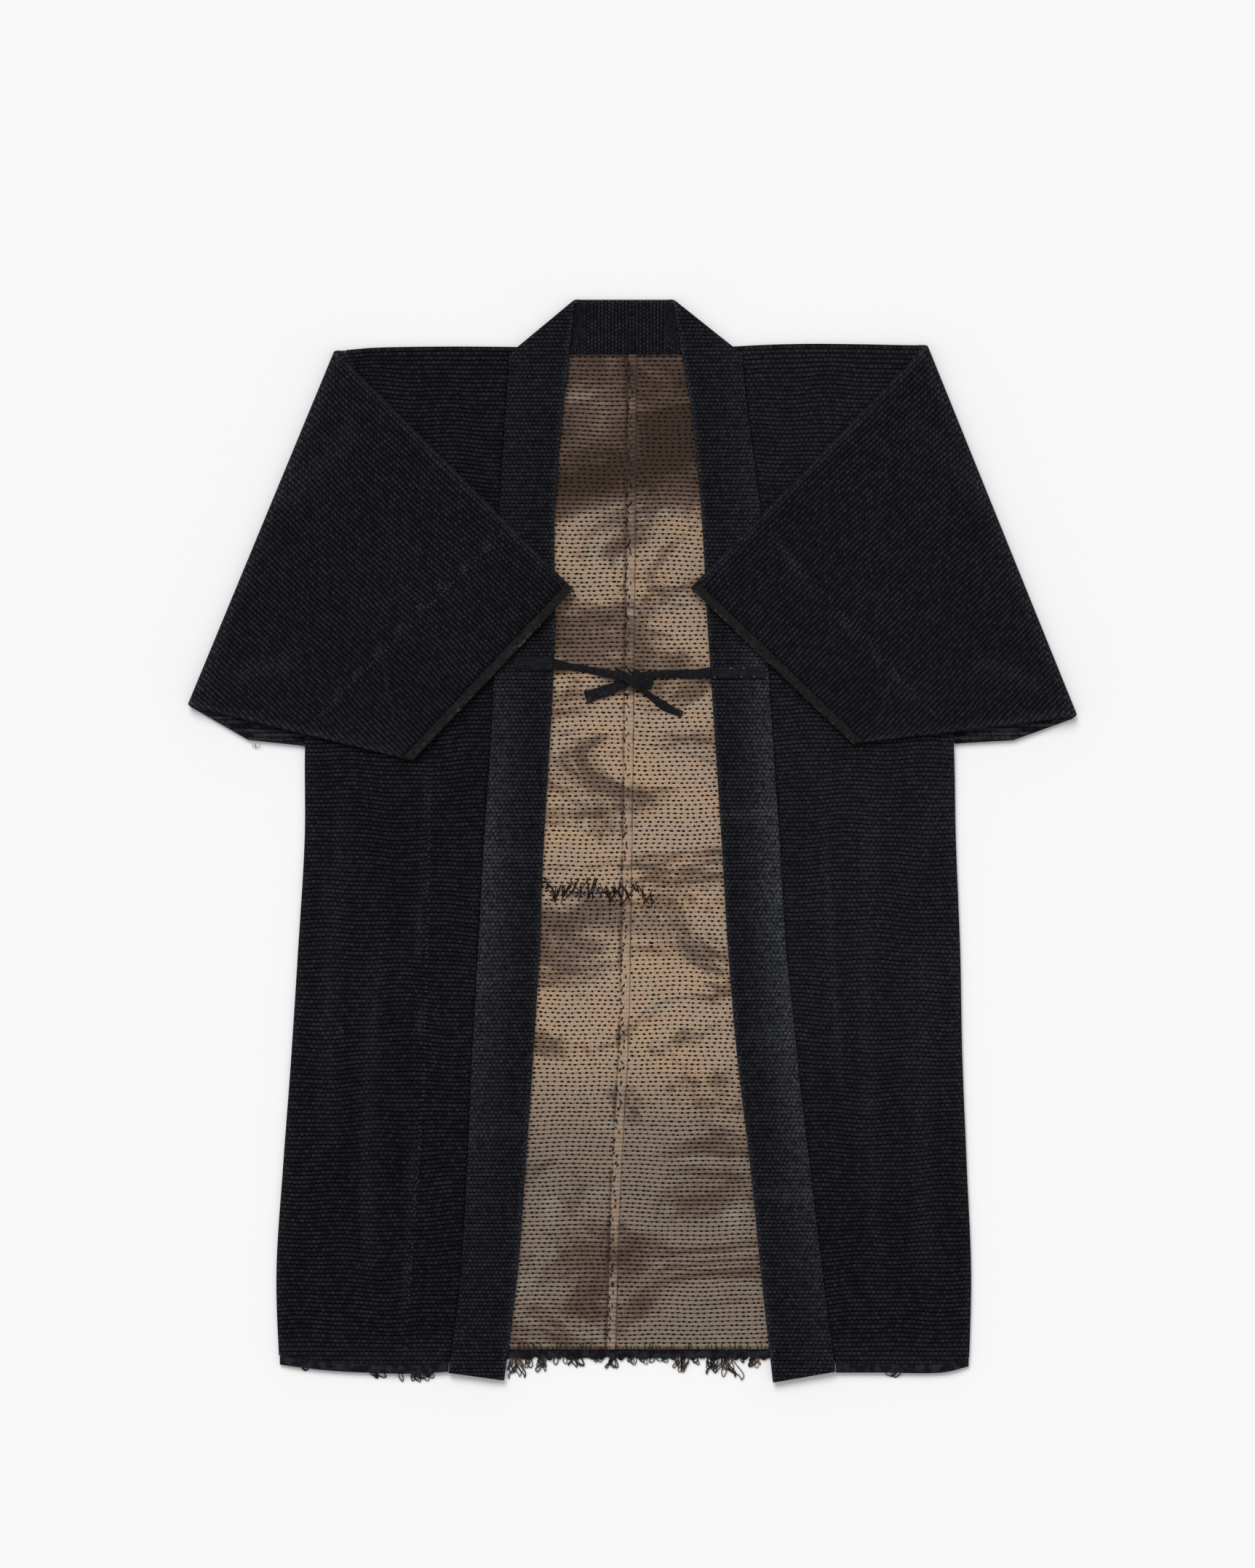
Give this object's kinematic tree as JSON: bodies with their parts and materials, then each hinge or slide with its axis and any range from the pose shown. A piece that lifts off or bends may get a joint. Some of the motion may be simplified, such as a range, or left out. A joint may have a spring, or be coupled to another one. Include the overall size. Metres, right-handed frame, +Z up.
{
  "type": "noragi jacket, a quilted cotton work coat, laid flat with its sleeves folded in",
  "caption": "Row-stitched indigo cotton work coat laid flat, open collar band, sleeves folded over the fronts, knotted ties, worn hems and a tan back lining.",
  "frame": {"origin": "middle of the flat underside that rests on the surface, at the centre of the coat's box", "axes": "+Z up from the surface through the layers, +Y from the hem to the neck, +X towards the wearer's left"},
  "size_m": [0.8174, 0.9979, 0.0144],
  "materials": {
    "indigo_cloth": "cotton woven plain, indigo dyed almost to black, closely row stitched",
    "collar_cloth": "cotton band, indigo dyed, faded a little at its edges, closely row stitched",
    "lining_cloth": "tan cotton with grey-brown ink washes and dark running stitches",
    "cuff_tape": "folded cotton tape, olive black, worn through at its edge",
    "hem_thread": "overcast cotton thread, frayed into loops",
    "tie_tape": "folded cotton tape, near black"
  },
  "bodies": {
    "root": {"body_right": "indigo_cloth", "body_left": "indigo_cloth", "lining_right": "lining_cloth", "lining_left": "lining_cloth", "sleeve_right": "indigo_cloth", "sleeve_left": "indigo_cloth", "cuff_binding_right": "cuff_tape", "cuff_binding_left": "cuff_tape", "collar": "collar_cloth", "back_hem": "hem_thread", "front_hem_right": "hem_thread", "front_hem_left": "hem_thread", "tie_tab_right": "tie_tape", "tie_tab_left": "tie_tape", "tie_tape_right": "tie_tape", "tie_tape_left": "tie_tape", "tie_tail_long": "tie_tape", "tie_tail_short": "tie_tape", "tie_knot": "tie_tape"}
  },
  "joints": []
}
